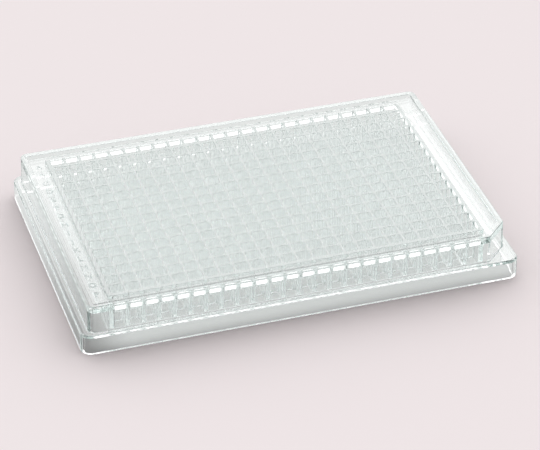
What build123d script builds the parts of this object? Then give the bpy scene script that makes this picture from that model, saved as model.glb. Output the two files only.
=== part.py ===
from build123d import *
import os
from math import sqrt

# 384-well plate, injection moulded in one piece.
# Frame: origin at the centre of the footprint on the resting plane, +X along
# the rows towards the last column, +Y along the columns towards row A, +Z up.
# All sizes are in millimetres.

# Well grid: the layout that readers and pipetting heads expect.
WELL_PITCH = 4.50
COLUMNS = 24
ROWS = 16
FIRST_WELL_FROM_END = 12.13  # footprint end to the centre of column 1
FIRST_WELL_FROM_SIDE = 8.99  # footprint side to the centre of row A

# Outside.
PLATE_HEIGHT = 14.35
FLANGE_HEIGHT = 6.10
FLANGE_CORNER_RADIUS = 3.18
END_LEDGE = 2.40  # step from the flange in to the upper wall at the short ends
SIDE_LEDGE = 1.70  # the same step along the long sides
RIM_CORNER_RADIUS = 2.00
NOTCH_LEG = 6.50  # cut corner of the upper wall, beside the last well
NOTCH_BLEND_RADIUS = 0.80
WALL_DRAFT = 1.0  # degrees; the upper wall leans in towards the rim

# Walls.
FLANGE_WALL = 1.20
UPPER_WALL = 1.20
LEDGE_THICKNESS = 1.30
RIM_WIDTH = 1.80
DECK_THICKNESS = 1.30

# Top face.
DECK_DROP = 1.20  # rim down to the marked deck around the wells
BLOCK_DROP = 0.15  # rim down to the tops of the wells, so a lid clears them
BLOCK_WALL = 1.40  # outermost well openings to the side of the well block

# Wells.
WELL_GAP = 0.80  # wall between two wells at their openings
WELL_DRAFT = 1.0  # degrees; each well narrows towards its floor
WELL_FLOOR = 1.10
FLOOR_STANDOFF = 1.60  # resting plane up to the underside of the well floors

# Edges.
LEDGE_EDGE_RADIUS = 0.60
RIM_EDGE_RADIUS = 0.30
BLOCK_EDGE_RADIUS = 0.25
BLOCK_CORNER_RADIUS = 1.20
LEDGE_ROOT_RADIUS = 0.50

# Worked out from the sizes above.
FOOTPRINT_LENGTH = 2 * FIRST_WELL_FROM_END + (COLUMNS - 1) * WELL_PITCH
FOOTPRINT_WIDTH = 2 * FIRST_WELL_FROM_SIDE + (ROWS - 1) * WELL_PITCH
RIM_LENGTH = FOOTPRINT_LENGTH - 2 * END_LEDGE
RIM_BREADTH = FOOTPRINT_WIDTH - 2 * SIDE_LEDGE
WELL_OPENING = WELL_PITCH - WELL_GAP
BLOCK_LENGTH = (COLUMNS - 1) * WELL_PITCH + WELL_OPENING + 2 * BLOCK_WALL
BLOCK_BREADTH = (ROWS - 1) * WELL_PITCH + WELL_OPENING + 2 * BLOCK_WALL
BLOCK_TOP = PLATE_HEIGHT - BLOCK_DROP
DECK_TOP = PLATE_HEIGHT - DECK_DROP
WELL_BOTTOM = FLOOR_STANDOFF + WELL_FLOOR
RUN_OUT = 2.0  # how far a cutter passes the face that it opens


def slab(length: float, breadth: float, low: float, high: float) -> Part:
    """A box centred on the Z axis between two heights."""
    return Pos(0, 0, (low + high) / 2) * Box(length, breadth, high - low)


def side_faces(part: Part) -> ShapeList:
    """The faces of a straight prism that stand on its outline."""
    return part.faces().filter_by(lambda face: abs(face.normal_at().Z) < 0.5)


def standing_edges(part: Part) -> ShapeList:
    """The edges of a prism that run from its bottom to its top."""
    tall = part.bounding_box().size.Z / 2
    return part.edges().filter_by(lambda edge: edge.bounding_box().size.Z > tall)


def edges_at(part: Part, height: float) -> ShapeList:
    """The edges that lie in the horizontal plane at a height."""
    return part.edges().filter_by_position(Axis.Z, height, height)


def toward_notch(shape: Vertex | Edge) -> float:
    """How far a shape lies towards the cut corner, which is at +X and -Y."""
    return shape.center().X - shape.center().Y


def notched_outline(inset: float) -> Sketch:
    """The rim's outline, moved inwards, with sharp corners and one cut corner."""
    length = RIM_LENGTH - 2 * inset
    breadth = RIM_BREADTH - 2 * inset
    outline = Rectangle(length, breadth)
    notch_corner = outline.vertices().sort_by(toward_notch)[-1]
    return chamfer(notch_corner, NOTCH_LEG - inset * (2 - sqrt(2)))


def notched_prism(inset: float, low: float, high: float) -> Part:
    """A solid on the rim's outline, true at the rim and wider below by the draft."""
    prism = extrude(Pos(0, 0, low) * notched_outline(inset), amount=high - low)
    leaning = draft(side_faces(prism), Plane.XY.offset(PLATE_HEIGHT), WALL_DRAFT)
    square_posts = standing_edges(leaning).sort_by(toward_notch)[:-2]
    rounded = fillet(square_posts, max(RIM_CORNER_RADIUS - inset, RIM_EDGE_RADIUS))
    notch_posts = standing_edges(rounded).sort_by(toward_notch)[-2:]
    return fillet(notch_posts, NOTCH_BLEND_RADIUS)


def flange() -> Part:
    """The wide foot of the plate, as a solid block with a softened ledge edge."""
    block = slab(FOOTPRINT_LENGTH, FOOTPRINT_WIDTH, 0, FLANGE_HEIGHT)
    block = fillet(standing_edges(block), FLANGE_CORNER_RADIUS)
    return fillet(edges_at(block, FLANGE_HEIGHT), LEDGE_EDGE_RADIUS)


def outer_body() -> Part:
    """The plate's outside: flange and upper wall, joined by a small root fillet."""
    body = flange() + notched_prism(0, 0, PLATE_HEIGHT)
    ledge = body.faces().filter_by_position(Axis.Z, FLANGE_HEIGHT, FLANGE_HEIGHT)[0]
    return fillet(ledge.inner_wires()[0].edges(), LEDGE_ROOT_RADIUS)


def underside_core() -> Part:
    """The hollow below, which leaves the flange, ledge, upper wall and deck."""
    inside_length = FOOTPRINT_LENGTH - 2 * FLANGE_WALL
    inside_width = FOOTPRINT_WIDTH - 2 * FLANGE_WALL
    skirt = slab(inside_length, inside_width, -RUN_OUT, FLANGE_HEIGHT - LEDGE_THICKNESS)
    skirt = fillet(standing_edges(skirt), FLANGE_CORNER_RADIUS - FLANGE_WALL)
    upper = notched_prism(UPPER_WALL, 0, DECK_TOP - DECK_THICKNESS)
    return skirt + upper


def well_block() -> Part:
    """The block that the wells are sunk in, standing clear of the resting plane."""
    block = slab(BLOCK_LENGTH, BLOCK_BREADTH, FLOOR_STANDOFF, BLOCK_TOP)
    return fillet(standing_edges(block), BLOCK_CORNER_RADIUS)


def deck_channel() -> Part:
    """The cutter that sinks the deck between the rim and the well block."""
    inside_rim = notched_prism(RIM_WIDTH, DECK_TOP, PLATE_HEIGHT + RUN_OUT)
    return inside_rim - well_block()


def well() -> Part:
    """One square well as a solid, its opening at the height of the block's top."""
    shaft = slab(WELL_OPENING, WELL_OPENING, WELL_BOTTOM, BLOCK_TOP)
    return draft(side_faces(shaft), Plane.XY.offset(BLOCK_TOP), -WELL_DRAFT)


def well_grid() -> list:
    """A copy of the well at every place of the grid, centred on the plate."""
    cutter = well()
    places = GridLocations(WELL_PITCH, WELL_PITCH, COLUMNS, ROWS)
    return [place * cutter for place in places]


def well_plate() -> Part:
    """The whole plate as one moulded solid."""
    shell = outer_body() - underside_core() - deck_channel()
    plate = shell + well_block()
    plate = fillet(edges_at(plate, PLATE_HEIGHT), RIM_EDGE_RADIUS)
    plate = fillet(edges_at(plate, BLOCK_TOP), BLOCK_EDGE_RADIUS)
    return plate - well_grid()


os.makedirs("parts", exist_ok=True)
export_step(well_plate(), "parts/well_plate.step")
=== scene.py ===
"""Looks of a 384-well plate: one clear moulding with raised row and column marks."""
import logging
from dataclasses import dataclass, field
from enum import Enum
from math import cos, pi, radians, sin, sqrt, tan
from typing import Iterator

import bmesh
import bpy
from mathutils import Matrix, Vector


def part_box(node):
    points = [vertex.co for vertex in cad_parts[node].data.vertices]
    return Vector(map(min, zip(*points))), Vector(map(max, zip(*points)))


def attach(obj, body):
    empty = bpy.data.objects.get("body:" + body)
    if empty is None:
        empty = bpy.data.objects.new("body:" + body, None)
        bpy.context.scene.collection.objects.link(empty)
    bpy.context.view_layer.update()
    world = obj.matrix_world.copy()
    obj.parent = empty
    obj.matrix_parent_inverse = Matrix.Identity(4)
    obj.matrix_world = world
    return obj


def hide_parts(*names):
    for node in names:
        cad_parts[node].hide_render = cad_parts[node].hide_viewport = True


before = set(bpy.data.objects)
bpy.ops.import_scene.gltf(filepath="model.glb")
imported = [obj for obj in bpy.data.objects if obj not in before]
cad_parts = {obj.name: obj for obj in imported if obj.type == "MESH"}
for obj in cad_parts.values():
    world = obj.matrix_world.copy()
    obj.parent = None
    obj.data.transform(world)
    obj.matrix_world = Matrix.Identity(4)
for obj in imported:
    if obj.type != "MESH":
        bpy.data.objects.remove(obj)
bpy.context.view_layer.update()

LOG = logging.getLogger("well_plate")
NODE = "well_plate"
BODY = "root"
MM = 0.001
RIPPLE_HEIGHT = 0.05 * MM
GRAIN_HEIGHT = 0.02 * MM
GRAIN_SIZE = 0.12 * MM
CELL_WELD = 0.005 * MM
MARK_WELD = 0.001 * MM
DIAGONAL_SHARE = 2 - sqrt(2)  # what a 45 degree cut loses for each unit of inset


# ---------------------------------------------------------------- sizes

@dataclass(frozen=True)
class PlateSizes:
    """The sizes of the moulding in millimetres; the overall ones come from the frame."""

    length: float
    width: float
    height: float
    pitch: float = 4.50
    columns: int = 24
    rows: int = 16
    flange_height: float = 6.10
    flange_corner: float = 3.18
    flange_wall: float = 1.20
    ledge_thickness: float = 1.30
    end_ledge: float = 2.40
    side_ledge: float = 1.70
    upper_wall: float = 1.20
    wall_draft: float = radians(1.0)
    rim_width: float = 1.80
    rim_corner: float = 2.00
    notch_leg: float = 6.50
    notch_blend: float = 0.80
    deck_drop: float = 1.20
    deck_thickness: float = 1.30
    block_drop: float = 0.15
    block_wall: float = 1.40
    block_corner: float = 1.20
    well_gap: float = 0.80
    well_corner: float = 0.60
    well_draft: float = radians(1.0)
    well_floor: float = 1.10
    floor_standoff: float = 1.60
    mouth_bevel: float = 0.12
    ledge_edge: float = 0.60
    ledge_root: float = 0.50
    rim_edge: float = 0.30
    block_edge: float = 0.25

    @property
    def opening(self) -> float:
        """Side of a well's square opening."""
        return self.pitch - self.well_gap

    @property
    def deck_top(self) -> float:
        """Height of the marked deck."""
        return self.height - self.deck_drop

    @property
    def block_top(self) -> float:
        """Height of the tops of the wells."""
        return self.height - self.block_drop

    @property
    def well_bottom(self) -> float:
        """Height of the wells' floors."""
        return self.floor_standoff + self.well_floor

    @property
    def rim_half(self) -> tuple[float, float]:
        """Half length and half width of the rim's outline."""
        return self.length / 2 - self.end_ledge, self.width / 2 - self.side_ledge

    @property
    def grid_half(self) -> tuple[float, float]:
        """Half length and half width of the grid of well cells."""
        return self.columns * self.pitch / 2, self.rows * self.pitch / 2

    @property
    def block_half(self) -> tuple[float, float]:
        """Half length and half width of the well block."""
        margin = self.block_wall - self.well_gap / 2
        return self.grid_half[0] + margin, self.grid_half[1] + margin

    @classmethod
    def from_frame(cls) -> "PlateSizes":
        """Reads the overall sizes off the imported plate.

        Returns:
            The sizes, with length, width and height as packed.
        """
        low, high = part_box(NODE)
        length, width, height = ((high - low) / MM)[:]
        return cls(round(length, 3), round(width, 3), round(height, 3))


class Outline(Enum):
    """The three outlines that the moulding's section follows round the plate."""

    FLANGE = "flange"
    RIM = "rim"
    BLOCK = "block"


# ---------------------------------------------------------------- small tools

def new_object(name: str, mesh: bpy.types.Mesh) -> bpy.types.Object:
    """Puts a mesh in the scene under an object of its own.

    Args:
        name: Name of the object.
        mesh: Its mesh, already in place.

    Returns:
        The object, at the origin.
    """
    piece = bpy.data.objects.new(name, mesh)
    bpy.context.scene.collection.objects.link(piece)
    return piece


def mesh_of(bm: bmesh.types.BMesh, name: str) -> bpy.types.Mesh:
    """Turns a finished bmesh into a mesh and frees it.

    Args:
        bm: The finished bmesh.
        name: Name of the mesh.

    Returns:
        The mesh.
    """
    mesh = bpy.data.meshes.new(name)
    bm.to_mesh(mesh)
    bm.free()
    return mesh


def stitch(bm: bmesh.types.BMesh, first: list[bmesh.types.BMVert],
           second: list[bmesh.types.BMVert]) -> None:
    """Joins two closed loops with a band of faces.

    Args:
        bm: The bmesh that gets the faces.
        first: One loop.
        second: The other, with as many vertices in the same order.
    """
    for near, far in zip(range(len(first)), [*range(1, len(first)), 0]):
        bm.faces.new((first[near], first[far], second[far], second[near]))


def arc(steps: int, start: float = 0.0, end: float = pi / 2) -> Iterator[float]:
    """Evenly spaced angles from start to end, both included."""
    for step in range(steps + 1):
        yield start + (end - start) * step / steps


def set_inputs(modifier: bpy.types.NodesModifier, values: dict[str, object]) -> None:
    """Gives a Geometry Nodes modifier its inputs by name.

    Args:
        modifier: The modifier, with its tree assigned.
        values: Input names and their values.
    """
    sockets = modifier.node_group.interface.items_tree
    for name, value in values.items():
        modifier[sockets[name].identifier] = value


def run_tree(
    tree: bpy.types.NodeTree, name: str, mesh: bpy.types.Mesh, values: dict[str, object]
) -> bpy.types.Mesh:
    """Runs a Geometry Nodes tree on a mesh and keeps the result as a plain mesh.

    Args:
        tree: The tree to run.
        name: Name of the resulting mesh.
        mesh: The mesh that the tree starts from.
        values: The tree's inputs by name, its finish among them.

    Returns:
        The evaluated mesh.
    """
    mesh.materials.append(values["Finish"])
    carrier = new_object(name + "_carrier", mesh)
    modifier = carrier.modifiers.new(name, "NODES")
    modifier.node_group = tree
    set_inputs(modifier, values)
    bpy.context.view_layer.update()
    evaluated = carrier.evaluated_get(bpy.context.evaluated_depsgraph_get())
    result = bpy.data.meshes.new_from_object(evaluated)
    result.name = name
    carrier.modifiers.remove(modifier)
    bpy.data.objects.remove(carrier)
    return result


class TreeBuilder:
    """Adds nodes and links to one node tree with little writing."""

    def __init__(self, tree: bpy.types.NodeTree) -> None:
        """Takes the tree that the nodes go into."""
        self.tree = tree

    @classmethod
    def group(cls, name: str, kind: str, inputs: dict[str, str],
              outputs: dict[str, str]) -> "TreeBuilder":
        """Starts a node group.

        Args:
            name: Name of the group.
            kind: Its type, such as GeometryNodeTree.
            inputs: The names of its inputs and the type of each, such as Float.
            outputs: The same for its outputs.

        Returns:
            A builder for the new group.
        """
        build = cls(bpy.data.node_groups.new(name, kind))
        for way, sockets in (("INPUT", inputs), ("OUTPUT", outputs)):
            for label, sort in sockets.items():
                build.tree.interface.new_socket(
                    label, in_out=way, socket_type="NodeSocket" + sort)
        return build

    def node(self, kind: str, inputs: dict[str | int, object] | None = None,
             **settings: object) -> bpy.types.Node:
        """Adds a node.

        Args:
            kind: The node's type.
            inputs: What its inputs get, as for feed.
            settings: Its properties and their values.

        Returns:
            The node.
        """
        made = self.tree.nodes.new(kind)
        for key, value in settings.items():
            setattr(made, key, value)
        self.feed(made, inputs or {})
        return made

    def feed(self, node: bpy.types.Node, inputs: dict[str | int, object]) -> None:
        """Sets or links inputs of a node.

        Args:
            node: The node.
            inputs: Names or numbers of inputs, and for each a value or another
                node's output.
        """
        for key, value in inputs.items():
            if isinstance(value, bpy.types.NodeSocket):
                self.link(value, node.inputs[key])
            else:
                node.inputs[key].default_value = value

    def link(self, source: bpy.types.NodeSocket, target: bpy.types.NodeSocket) -> None:
        """Links an output to an input."""
        self.tree.links.new(source, target)

    def math(self, operation: str, *values: object) -> bpy.types.NodeSocket:
        """Adds a Math node.

        Args:
            operation: The node's operation.
            values: Its inputs, each a number or another node's output.

        Returns:
            The node's output.
        """
        inputs = dict(enumerate(values))
        return self.node("ShaderNodeMath", inputs, operation=operation).outputs[0]


# ---------------------------------------------------------------- finishes

def moulded_surface_group() -> bpy.types.NodeTree:
    """Builds the surface of moulded plastic: flow ripple, polish, haze and grain.

    Returns:
        A shader group that puts out a roughness and a normal.
    """
    build = TreeBuilder.group(
        "moulded_surface", "ShaderNodeTree",
        dict.fromkeys(("Roughness", "Haze", "Ripple", "Ripple Size", "Grain"), "Float"),
        {"Roughness": "Float", "Normal": "Vector"},
    )
    given = build.node("NodeGroupInput").outputs
    place = build.node("ShaderNodeTexCoord").outputs["Object"]
    flow = build.node("ShaderNodeTexNoise", {
        "Vector": place, "Scale": build.math("DIVIDE", 1.0, given["Ripple Size"]),
        "Detail": 2.0,
    }).outputs["Fac"]
    grain = build.node("ShaderNodeTexNoise", {
        "Vector": place, "Scale": 1 / GRAIN_SIZE, "Detail": 1.0,
    }).outputs["Fac"]
    ripple = build.node("ShaderNodeBump", {
        "Strength": given["Ripple"], "Distance": RIPPLE_HEIGHT, "Height": flow,
    })
    fine = build.node("ShaderNodeBump", {
        "Strength": given["Grain"], "Distance": GRAIN_HEIGHT, "Height": grain,
        "Normal": ripple.outputs["Normal"],
    })
    build.node("NodeGroupOutput", {
        "Roughness": build.math("MULTIPLY_ADD", flow, given["Haze"], given["Roughness"]),
        "Normal": fine.outputs["Normal"],
    })
    return build.tree


@dataclass(frozen=True)
class ClearPlastic:
    """Clear moulded polystyrene with a given polish; ripple_size is in metres."""

    name: str
    tint: tuple[float, float, float] = (0.995, 0.998, 0.997)
    ior: float = 1.59
    roughness: float = 0.02
    haze: float = 0.03
    ripple: float = 0.10
    ripple_size: float = 0.006
    grain: float = 0.0
    body_tint: tuple[float, float, float] = (0.42, 0.74, 0.67)
    body_depth: float = 6.0

    def material(self, surface: bpy.types.NodeTree) -> bpy.types.Material:
        """Builds the material.

        Args:
            surface: The shared moulded surface group.

        Returns:
            The material, with the shader and the absorption as plain nodes.
        """
        material = bpy.data.materials.new(self.name)
        material.use_nodes = True
        build = TreeBuilder(material.node_tree)
        skin = build.node("ShaderNodeGroup", node_tree=surface)
        build.feed(skin, {
            "Roughness": self.roughness, "Haze": self.haze, "Ripple": self.ripple,
            "Ripple Size": self.ripple_size, "Grain": self.grain,
        })
        build.feed(build.tree.nodes["Principled BSDF"], {
            "Base Color": (*self.tint, 1.0), "Transmission Weight": 1.0, "IOR": self.ior,
            "Roughness": skin.outputs["Roughness"], "Normal": skin.outputs["Normal"],
        })
        body = build.node("ShaderNodeVolumeAbsorption", {
            "Color": (*self.body_tint, 1.0), "Density": self.body_depth,
        })
        build.feed(build.tree.nodes["Material Output"], {"Volume": body.outputs[0]})
        return material


POLISHED = ClearPlastic("polished_polystyrene")
MARKED = ClearPlastic("frosted_polystyrene", roughness=0.28, haze=0.10, grain=0.5)


# ---------------------------------------------------------------- the moulded wall

@dataclass
class MouldedWall:
    """The stepped wall round the wells: foot flange, upper wall, rim, deck and block side.

    The field corner_steps is odd, so that the cut corner's two bends share its points.
    """

    sizes: PlateSizes
    corner_steps: int = 9
    edge_steps: int = 4
    least_blend: float = 0.1

    def corner(self, centre: tuple[float, float], radius: float, start: float,
               end: float, steps: int) -> Iterator[tuple[float, float]]:
        """Points of one arc of an outline, in plan.

        Args:
            centre: The arc's centre.
            radius: Its radius.
            start: The angle it starts at.
            end: The angle it ends at.
            steps: How many steps it is drawn in.

        Returns:
            The points, both ends included.
        """
        for angle in arc(steps, start, end):
            yield centre[0] + radius * cos(angle), centre[1] + radius * sin(angle)

    def cut_corner(self, half: tuple[float, float], inset: float) -> Iterator[tuple[float, float]]:
        """Points of the rim's one cut corner, as many as a round corner has.

        Args:
            half: Half length and half width of the outline here.
            inset: How far the outline lies inside the rim's outer edge.

        Returns:
            The points, from the long side to the short end.
        """
        leg = self.sizes.notch_leg - inset * DIAGONAL_SHARE
        blend = max(self.sizes.notch_blend - inset, self.least_blend)
        run = leg + blend * tan(pi / 8)  # the cut, then the blend's own reach
        half_steps = (self.corner_steps - 1) // 2
        first = (half[0] - run, blend - half[1])
        second = (half[0] - blend, run - half[1])
        yield from self.corner(first, blend, -pi / 2, -pi / 4, half_steps)
        yield from self.corner(second, blend, -pi / 4, 0.0, half_steps)

    def loop(self, outline: Outline, inset: float, height: float) -> list[Vector]:
        """One closed loop round the plate, in metres.

        Args:
            outline: The outline it follows.
            inset: How far inside that outline it lies, in millimetres.
            height: Its height, in millimetres.

        Returns:
            The points, anticlockwise from the cut corner.
        """
        s = self.sizes
        grow = 0.0
        if outline is Outline.FLANGE:
            full, radius = (s.length / 2, s.width / 2), s.flange_corner
        elif outline is Outline.RIM:
            full, radius = s.rim_half, s.rim_corner
            grow = tan(s.wall_draft) * (s.height - height)
        else:
            full, radius = s.block_half, s.block_corner
        half = (full[0] - inset + grow, full[1] - inset + grow)
        radius = max(radius - inset, s.rim_edge)
        points = []
        for quarter, (along, across) in enumerate(((1, -1), (1, 1), (-1, 1), (-1, -1))):
            if outline is Outline.RIM and quarter == 0:
                points.extend(self.cut_corner(half, inset))
                continue
            centre = (along * (half[0] - radius), across * (half[1] - radius))
            start = (quarter - 1) * pi / 2
            points.extend(self.corner(centre, radius, start, start + pi / 2, self.corner_steps))
        return [Vector((x, y, height)) * MM for x, y in points]

    def rounded_edge(self, outline: Outline, radius: float,
                     top: float) -> Iterator[tuple[Outline, float, float]]:
        """Stations of a rounded outer edge, up to the flat above it.

        Args:
            outline: The outline that the edge follows.
            radius: The edge's radius.
            top: The height of the flat.

        Returns:
            The outline, inset and height of each station.
        """
        for turn in arc(self.edge_steps):
            yield outline, radius * (1 - cos(turn)), top - radius * (1 - sin(turn))

    def section(self) -> Iterator[tuple[Outline, float, float]]:
        """The wall's section, from the block's underside round the foot to the block's top.

        Returns:
            The outline, inset and height of each station.
        """
        s = self.sizes
        deck_underside = s.deck_top - s.deck_thickness
        ledge_underside = s.flange_height - s.ledge_thickness
        yield Outline.BLOCK, 0.0, s.floor_standoff
        yield Outline.BLOCK, 0.0, deck_underside
        yield Outline.RIM, s.upper_wall, deck_underside
        yield Outline.RIM, s.upper_wall, ledge_underside
        yield Outline.FLANGE, s.flange_wall, ledge_underside
        yield Outline.FLANGE, s.flange_wall, 0.0
        yield Outline.FLANGE, 0.0, 0.0
        yield from self.rounded_edge(Outline.FLANGE, s.ledge_edge, s.flange_height)
        radius = s.ledge_root
        for turn in arc(self.edge_steps):
            rise = radius * (1 - cos(turn))
            yield Outline.RIM, -radius * (1 - sin(turn)), s.flange_height + rise
        yield from self.rounded_edge(Outline.RIM, s.rim_edge, s.height)
        radius = s.rim_edge
        for turn in arc(self.edge_steps):
            inset = s.rim_width - radius * (1 - sin(turn))
            yield Outline.RIM, inset, s.height - radius * (1 - cos(turn))
        yield Outline.RIM, s.rim_width, s.deck_top
        yield Outline.BLOCK, 0.0, s.deck_top
        yield from self.rounded_edge(Outline.BLOCK, s.block_edge, s.block_top)

    def grid_edge(self, bm: bmesh.types.BMesh) -> list[bmesh.types.BMEdge]:
        """The border of the grid of wells, with a vertex at each cell's corner.

        Args:
            bm: The bmesh that gets the vertices and edges.

        Returns:
            The border's edges.
        """
        s = self.sizes
        half_x, half_y = s.grid_half
        xs = [column * s.pitch - half_x for column in range(s.columns + 1)]
        ys = [row * s.pitch - half_y for row in range(s.rows + 1)]
        places = [(x, -half_y) for x in xs[:-1]]
        places += [(half_x, y) for y in ys[:-1]]
        places += [(x, half_y) for x in reversed(xs[1:])]
        places += [(-half_x, y) for y in reversed(ys[1:])]
        ring = [bm.verts.new(Vector((x, y, s.block_top)) * MM) for x, y in places]
        return [bm.edges.new(pair) for pair in zip(ring, ring[1:] + ring[:1])]

    def mesh(self) -> bpy.types.Mesh:
        """Builds the wall, open only where the grid of wells goes.

        Returns:
            The wall's mesh.
        """
        bm = bmesh.new()
        rings = [[bm.verts.new(p) for p in self.loop(*station)] for station in self.section()]
        for inner, outer in zip(rings, rings[1:]):
            stitch(bm, inner, outer)
        bm.faces.new(reversed(rings[0]))
        top = rings[-1]
        top_edges = [bm.edges.get(pair) for pair in zip(top, top[1:] + top[:1])]
        edges = top_edges + self.grid_edge(bm)
        bmesh.ops.triangle_fill(bm, edges=edges, use_beauty=True, normal=(0, 0, 1))
        return mesh_of(bm, "moulded_wall")


# ---------------------------------------------------------------- the wells

@dataclass
class WellField:
    """The grid of square wells, each a short tapered shaft with softened corners."""

    sizes: PlateSizes
    corner_steps: int = 3

    def ring(self, bm: bmesh.types.BMesh, half: float, radius: float,
             height: float) -> list[list[bmesh.types.BMVert]]:
        """One rounded square round the shaft.

        Args:
            bm: The bmesh that gets the vertices.
            half: Half the square's side.
            radius: Its corner radius.
            height: Its height.

        Returns:
            The vertices of each of its four corners, anticlockwise.
        """
        corners = []
        for quarter, (along, across) in enumerate(((1, 1), (-1, 1), (-1, -1), (1, -1))):
            centre = (along * (half - radius), across * (half - radius))
            corners.append([
                bm.verts.new(Vector((
                    centre[0] + radius * cos(angle), centre[1] + radius * sin(angle), height,
                )) * MM)
                for angle in arc(self.corner_steps, quarter * pi / 2, (quarter + 1) * pi / 2)
            ])
        return corners

    def cell(self) -> bpy.types.Mesh:
        """Builds one cell of the grid: the flat top round a well, and the well.

        Returns:
            The cell's mesh, centred on the Z axis.
        """
        s = self.sizes
        bm = bmesh.new()
        half = s.opening / 2
        narrow = tan(s.well_draft) * (s.block_top - s.well_bottom)
        mouth = self.ring(bm, half + s.mouth_bevel, s.well_corner + s.mouth_bevel, s.block_top)
        throat = self.ring(bm, half, s.well_corner, s.block_top - s.mouth_bevel)
        floor = self.ring(bm, half - narrow, s.well_corner - narrow, s.well_bottom)
        posts = [
            bm.verts.new(Vector((x * s.pitch / 2, y * s.pitch / 2, s.block_top)) * MM)
            for x, y in ((1, 1), (-1, 1), (-1, -1), (1, -1))
        ]
        for quarter, post in enumerate(posts):
            following = (quarter + 1) % len(posts)
            bm.faces.new((post, *reversed(mouth[quarter])))
            bm.faces.new((post, posts[following], mouth[following][0], mouth[quarter][-1]))
        for upper, lower in ((mouth, throat), (throat, floor)):
            stitch(bm, sum(upper, []), sum(lower, []))
        bm.faces.new(sum(floor, []))
        return mesh_of(bm, "well_cell")

    def tree(self) -> bpy.types.NodeTree:
        """Builds the tree that fills the wall with wells.

        Returns:
            A Geometry Nodes tree that takes the wall and joins a cell at each place.
        """
        build = TreeBuilder.group(
            "well_field", "GeometryNodeTree",
            {"Geometry": "Geometry", "Cell": "Object", "Columns": "Int", "Rows": "Int",
             "Pitch": "Float", "Join Distance": "Float", "Finish": "Material"},
            {"Geometry": "Geometry"},
        )
        given = build.node("NodeGroupInput").outputs
        spans = {}
        for side, count in (("Size X", "Columns"), ("Size Y", "Rows")):
            gaps = build.math("SUBTRACT", given[count], 1.0)
            spans[side] = build.math("MULTIPLY", gaps, given["Pitch"])
        grid = build.node("GeometryNodeMeshGrid", {
            **spans, "Vertices X": given["Columns"], "Vertices Y": given["Rows"],
        })
        cell = build.node("GeometryNodeObjectInfo", {"Object": given["Cell"]},
                          transform_space="ORIGINAL")
        wells = build.node("GeometryNodeInstanceOnPoints", {
            "Points": grid.outputs["Mesh"], "Instance": cell.outputs["Geometry"],
        })
        join = build.node("GeometryNodeJoinGeometry")
        build.link(wells.outputs[0], join.inputs[0])
        build.link(given["Geometry"], join.inputs[0])
        real = build.node("GeometryNodeRealizeInstances", {0: join.outputs[0]})
        weld = build.node("GeometryNodeMergeByDistance", {
            "Geometry": real.outputs[0], "Distance": given["Join Distance"],
        })
        finish = build.node("GeometryNodeSetMaterial", {
            "Geometry": weld.outputs[0], "Material": given["Finish"],
        })
        build.node("NodeGroupOutput", {0: finish.outputs[0]})
        return build.tree

    def fill(self, wall: bpy.types.Mesh, finish: bpy.types.Material) -> bpy.types.Mesh:
        """Joins the grid of wells to the wall.

        Args:
            wall: The moulded wall, open where the wells go.
            finish: The material of the whole moulding.

        Returns:
            The closed moulding.
        """
        s = self.sizes
        cell = new_object("well_cell", self.cell())
        values = {
            "Cell": cell, "Columns": s.columns, "Rows": s.rows, "Pitch": s.pitch * MM,
            "Join Distance": CELL_WELD, "Finish": finish,
        }
        moulding = run_tree(self.tree(), "moulding", wall, values)
        bpy.data.objects.remove(cell)
        return moulding


# ---------------------------------------------------------------- the marks

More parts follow.
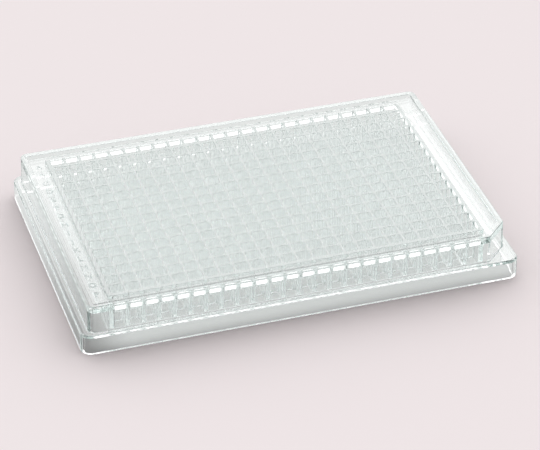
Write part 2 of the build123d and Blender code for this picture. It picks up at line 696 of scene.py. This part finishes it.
@dataclass
class RaisedMarks:
    """Row letters and column numbers, raised on the deck beside the wells.

    The field generated is the number of the zone output that holds what each turn made.
    """

    sizes: PlateSizes
    relief: float = 0.20
    sunk: float = 0.10
    letter_size: float = 2.9
    number_size: float = 2.0
    letters: str = "ABCDEFGHIJKLMNOP"
    generated: int = 2

    def text_nodes(self, build: TreeBuilder, given: bpy.types.bpy_prop_collection,
                   index: bpy.types.NodeSocket) -> bpy.types.NodeSocket:
        """Adds the nodes that turn an index into a letter or a number.

        Args:
            build: The tree being built.
            given: The outputs of its group input.
            index: The index of the mark, from 0.

        Returns:
            The curves of the mark.
        """
        number = build.math("ADD", index, 1.0)
        digits = build.node("FunctionNodeValueToString", {"Value": number})
        letter = build.node("FunctionNodeSliceString", {
            "String": given["Letters"], "Position": index, "Length": 1,
        })
        choice = build.node("GeometryNodeSwitch", input_type="STRING")
        build.feed(choice, {
            "Switch": given["Use Letters"], "False": digits.outputs[0], "True": letter.outputs[0],
        })
        text = build.node("GeometryNodeStringToCurves", {
            "String": choice.outputs[0], "Size": given["Text Size"],
        }, align_x="CENTER", align_y="MIDDLE")
        return build.node("GeometryNodeRealizeInstances", {0: text.outputs[0]}).outputs[0]

    def tree(self) -> bpy.types.NodeTree:
        """Builds the tree that sets out one line of marks.

        Returns:
            A Geometry Nodes tree that makes each mark as a closed raised solid.
        """
        build = TreeBuilder.group(
            "raised_marks", "GeometryNodeTree",
            {"Geometry": "Geometry", "Count": "Int", "Start": "Vector", "Step": "Vector",
             "Text Size": "Float", "Depth": "Float", "Letters": "String",
             "Use Letters": "Bool", "Finish": "Material"},
            {"Geometry": "Geometry"},
        )
        given = build.node("NodeGroupInput").outputs
        line = build.node("GeometryNodeMeshLine", {"Count": given["Count"]}, mode="OFFSET")
        each = build.node("GeometryNodeForeachGeometryElementInput")
        done = build.node("GeometryNodeForeachGeometryElementOutput", domain="POINT")
        each.pair_with_output(done)
        build.link(line.outputs[0], each.inputs["Geometry"])
        index = each.outputs["Index"]
        flat = build.node("GeometryNodeFillCurve", {
            "Curve": self.text_nodes(build, given, index),
        }).outputs[0]
        raised = build.node("GeometryNodeExtrudeMesh", {
            "Mesh": flat, "Offset Scale": given["Depth"], "Individual": False,
        })
        base = build.node("GeometryNodeFlipFaces", {"Mesh": flat})
        join = build.node("GeometryNodeJoinGeometry")
        build.link(raised.outputs["Mesh"], join.inputs[0])
        build.link(base.outputs[0], join.inputs[0])
        weld = build.node("GeometryNodeMergeByDistance", {
            "Geometry": join.outputs[0], "Distance": MARK_WELD,
        })
        along = build.node("ShaderNodeVectorMath", {
            0: given["Step"], "Scale": index,
        }, operation="SCALE")
        place = build.node("ShaderNodeVectorMath", {
            0: given["Start"], 1: along.outputs[0],
        }, operation="ADD")
        move = build.node("GeometryNodeTransform", {
            "Geometry": weld.outputs[0], "Translation": place.outputs[0],
        })
        build.link(move.outputs[0], done.inputs["Geometry"])
        real = build.node("GeometryNodeRealizeInstances", {
            0: done.outputs[self.generated],
        })
        finish = build.node("GeometryNodeSetMaterial", {
            "Geometry": real.outputs[0], "Material": given["Finish"],
        })
        build.node("NodeGroupOutput", {0: finish.outputs[0]})
        return build.tree

    def meshes(self, finish: bpy.types.Material) -> list[bpy.types.Mesh]:
        """Makes the row letters and the column numbers.

        Args:
            finish: The material of the marks.

        Returns:
            Their two meshes, in place on the deck.
        """
        s = self.sizes
        tree = self.tree()
        foot = (s.deck_top - self.sunk) * MM
        deck_x = (s.block_half[0] + s.rim_half[0] - s.rim_width) / 2 * MM
        deck_y = (s.block_half[1] + s.rim_half[1] - s.rim_width) / 2 * MM
        first_x = -(s.columns - 1) * s.pitch / 2 * MM
        first_y = (s.rows - 1) * s.pitch / 2 * MM
        shared = {
            "Depth": (self.relief + self.sunk) * MM, "Letters": self.letters, "Finish": finish,
        }
        rows = run_tree(tree, "row_letters", bpy.data.meshes.new("rows"), {
            **shared, "Count": s.rows, "Use Letters": True, "Text Size": self.letter_size * MM,
            "Start": (-deck_x, first_y, foot), "Step": (0.0, -s.pitch * MM, 0.0),
        })
        columns = run_tree(tree, "column_numbers", bpy.data.meshes.new("columns"), {
            **shared, "Count": s.columns, "Use Letters": False, "Text Size": self.number_size * MM,
            "Start": (first_x, deck_y, foot), "Step": (s.pitch * MM, 0.0, 0.0),
        })
        return [rows, columns]


# ---------------------------------------------------------------- the plate

@dataclass
class WellPlate:
    """The whole plate, fused into one closed skin."""

    sizes: PlateSizes
    smooth_angle: float = radians(32.0)
    flat_weight: int = 100
    mark_names: list[str] = field(default_factory=list)

    def fuse(self, moulding: bpy.types.Mesh, marks: list[bpy.types.Mesh]) -> bpy.types.Object:
        """Unites the marks with the moulding.

        Args:
            moulding: The closed moulding.
            marks: The closed marks.

        Returns:
            One object with one closed mesh.
        """
        body = new_object("plate_body", moulding)
        for mesh in marks:
            tool = new_object(mesh.name, mesh)
            union = body.modifiers.new(mesh.name, "BOOLEAN")
            union.operation = "UNION"
            union.solver = "MANIFOLD"
            union.material_mode = "TRANSFER"
            union.object = tool
            self.mark_names.append(mesh.name)
        bpy.context.view_layer.update()
        evaluated = body.evaluated_get(bpy.context.evaluated_depsgraph_get())
        fused = bpy.data.meshes.new_from_object(evaluated)
        for modifier in list(body.modifiers):
            bpy.data.objects.remove(modifier.object)
        bpy.data.objects.remove(body)
        # The union can leave a slot with no material.
        for slot in reversed(range(len(fused.materials))):
            if fused.materials[slot] is None:
                fused.materials.pop(index=slot)
        fused.name = "plate_moulding"
        return new_object("plate_moulding", fused)

    def soften(self, piece: bpy.types.Object) -> None:
        """Smooths the round edges and keeps the flat faces flat.

        Args:
            piece: The piece, which gets the softened mesh.
        """
        mesh = piece.data
        mesh.shade_smooth()
        mesh.set_sharp_from_angle(angle=self.smooth_angle)
        weights = piece.modifiers.new("flat_faces", "WEIGHTED_NORMAL")
        weights.keep_sharp = True
        weights.weight = self.flat_weight
        evaluated = piece.evaluated_get(bpy.context.evaluated_depsgraph_get())
        piece.data = bpy.data.meshes.new_from_object(evaluated)
        piece.modifiers.clear()

    def build(self) -> bpy.types.Object:
        """Builds the plate and puts it in place of the CAD solid.

        Returns:
            The finished piece.
        """
        surface = moulded_surface_group()
        polished = POLISHED.material(surface)
        marked = MARKED.material(surface)
        wall = MouldedWall(self.sizes).mesh()
        moulding = WellField(self.sizes).fill(wall, polished)
        piece = self.fuse(moulding, RaisedMarks(self.sizes).meshes(marked))
        self.soften(piece)
        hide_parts(NODE)
        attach(piece, BODY)
        faces = len(piece.data.polygons)
        LOG.info("%s: %d faces, marks %s", piece.name, faces, self.mark_names)
        return piece


# ---------------------------------------------------------------- the studio

@dataclass
class Studio:
    """Pale floor, soft sky and the camera.

    Lengths are in metres, apart from floor_drop, the lens, the sensor and the three
    spans, which are in millimetres. A span is the stretch over which the floor's glow
    changes, with painted shade in front and on the left and painted light on the right,
    along +Y from the plate's front edge or along +X from its left or right one.
    """

    sizes: PlateSizes
    floor_side: float = 6.0
    floor_drop: float = 0.05
    seen_floor: tuple[float, float, float] = (0.863, 0.791, 0.799)
    glow_share: float = 0.82
    glow_colour: tuple[float, float, float] = (0.965, 1.0, 0.985)
    glow_under: float = 0.81
    # Painted shade and light: the next three levels dim the floor's glow in front and on the left
    # and brighten it on the right.
    painted_front_shade: float = 0.15
    painted_left_shade: tuple[float, float] = (0.28, 0.97)
    painted_right_light: float = 1.05
    front_shade_span: tuple[float, float] = (-4.0, 6.0)
    left_shade_span: tuple[float, float] = (-2.0, 16.0)
    right_light_span: tuple[float, float] = (-10.0, 6.0)
    fill: float = 0.35
    key: float = 1.66
    key_azimuth: float = radians(68.0)
    azimuth: float = radians(-17.41)
    elevation: float = radians(33.64)
    distance: float = 0.799
    target: tuple[float, float, float] = (0.0010, -0.0062, 0.0070)
    lens: float = 185.07
    sensor: float = 36.0
    clip: tuple[float, float] = (0.01, 20.0)
    bounces: int = 40

    def floor(self) -> bpy.types.Object:
        """Lays the floor, which is plain to the camera and glows through the plastic, with painted
        shade and painted light in that glow.

        Returns:
            The floor.
        """
        bm = bmesh.new()
        bmesh.ops.create_grid(bm, x_segments=1, y_segments=1, size=self.floor_side / 2)
        bmesh.ops.translate(bm, verts=bm.verts, vec=(0, 0, -self.floor_drop * MM))
        piece = new_object("studio_floor", mesh_of(bm, "studio_floor"))
        material = bpy.data.materials.new("studio_floor")
        material.use_nodes = True
        build = TreeBuilder(material.node_tree)
        plain = build.tree.nodes["Principled BSDF"]
        build.feed(plain, {
            "Base Color": (*self.seen_floor, 1.0), "Roughness": 1.0, "Specular IOR Level": 0.0,
        })
        path = build.node("ShaderNodeLightPath").outputs
        through = build.math("MAXIMUM", path["Is Transmission Ray"], path["Is Glossy Ray"])
        glow = build.node("ShaderNodeEmission", {
            "Color": (*self.glow_colour, 1.0), "Strength": self.floor_glow_with_painted_shade(build),
        })
        mix = build.node("ShaderNodeMixShader", {
            0: build.math("MULTIPLY", through, self.glow_share),
            1: plain.outputs[0], 2: glow.outputs[0],
        })
        build.feed(build.tree.nodes["Material Output"], {"Surface": mix.outputs[0]})
        piece.data.materials.append(material)
        return piece

    def ramp(self, build: TreeBuilder, value: bpy.types.NodeSocket,
             ends: tuple[float, float], levels: tuple[object, object]) -> bpy.types.NodeSocket:
        """Adds a node that eases from one level to another while a value crosses a stretch.

        Args:
            build: The tree being built.
            value: The value.
            ends: Where the stretch starts and ends.
            levels: The levels there, each a number or another node's output.

        Returns:
            The eased level.
        """
        return build.node("ShaderNodeMapRange", {
            "Value": value, "From Min": ends[0], "From Max": ends[1],
            "To Min": levels[0], "To Max": levels[1],
        }, interpolation_type="SMOOTHSTEP").outputs["Result"]

    def floor_glow_with_painted_shade(self, build: TreeBuilder) -> bpy.types.NodeSocket:
        """How bright the floor looks through the plastic and in it.

        It is full under the plate. It is a little brighter to the right, which is painted light,
        and dim in front and on the left, which is painted shade standing in for the plate's own
        soft shade.

        Args:
            build: The floor material's tree.

        Returns:
            The strength of the floor's glow.
        """
        place = build.node("ShaderNodeTexCoord").outputs["Object"]
        east, north, _ = build.node("ShaderNodeSeparateXYZ", {0: place}).outputs
        end, side = self.sizes.length / 2 * MM, self.sizes.width / 2 * MM
        front_ends = tuple(-side + offset * MM for offset in self.front_shade_span)
        left_ends = tuple(-end + offset * MM for offset in self.left_shade_span)
        right_ends = tuple(end + offset * MM for offset in self.right_light_span)
        # Painted shade in front and on the left and painted light on the right, all in the floor's
        # glow as the plastic sees it.
        front = self.ramp(build, north, front_ends, (self.painted_front_shade, 1.0))
        along_left = self.ramp(build, north, (-side, side), self.painted_left_shade)
        left = self.ramp(build, east, left_ends, (along_left, 1.0))
        right = self.ramp(build, east, right_ends, (1.0, self.painted_right_light))
        sides = build.math("MULTIPLY", left, right)
        return build.math("MULTIPLY", build.math("MULTIPLY", front, sides), self.glow_under)

    def sky(self) -> None:
        """Surrounds the plate with soft white light, strongest from one side at 45 degrees.

        The strength towards a direction is fill + key * z * (run + lean), where z is
        its height, run its level part and lean how far it leans towards the key side.
        The floor gets as much light as under an even sky of strength 1.
        """
        world = bpy.data.worlds.new("studio_sky")
        world.use_nodes = True
        build = TreeBuilder(world.node_tree)
        place = build.node("ShaderNodeTexCoord").outputs["Generated"]
        east, north, up = build.node("ShaderNodeSeparateXYZ", {0: place}).outputs
        height = build.math("MAXIMUM", up, 0.0)
        level = build.math("SUBTRACT", 1.0, build.math("MULTIPLY", height, height))
        run = build.math("SQRT", level)
        lean = build.math("MULTIPLY", east, cos(self.key_azimuth))
        lean = build.math("MULTIPLY_ADD", north, sin(self.key_azimuth), lean)
        lobe = build.math("MULTIPLY", height, build.math("ADD", run, lean))
        build.feed(build.tree.nodes["Background"], {
            "Color": (1.0, 1.0, 1.0, 1.0),
            "Strength": build.math("MULTIPLY_ADD", lobe, self.key, self.fill),
        })
        bpy.context.scene.world = world

    def camera(self) -> bpy.types.Object:
        """Sets the camera at the viewing angle.

        Returns:
            The camera.
        """
        data = bpy.data.cameras.new("camera")
        data.lens = self.lens
        data.sensor_width = self.sensor
        data.clip_start, data.clip_end = self.clip
        camera = new_object("camera", data)
        back = Vector((
            sin(self.azimuth) * cos(self.elevation),
            -cos(self.azimuth) * cos(self.elevation),
            sin(self.elevation),
        ))
        camera.location = Vector(self.target) + back * self.distance
        camera.rotation_euler = back.to_track_quat("Z", "Y").to_euler()
        bpy.context.scene.camera = camera
        return camera

    def build(self) -> None:
        """Sets up the floor, the light, the camera and the view."""
        self.floor()
        self.sky()
        self.camera()
        scene = bpy.context.scene
        scene.view_settings.view_transform = "Standard"
        scene.cycles.max_bounces = self.bounces
        scene.cycles.transmission_bounces = self.bounces
        scene.cycles.glossy_bounces = self.bounces
        LOG.info("studio ready")


def main() -> None:
    """Builds the plate and the studio."""
    logging.basicConfig(level=logging.INFO, format="%(name)s: %(message)s")
    sizes = PlateSizes.from_frame()
    WellPlate(sizes).build()
    Studio(sizes).build()


if __name__ == "__main__":
    main()
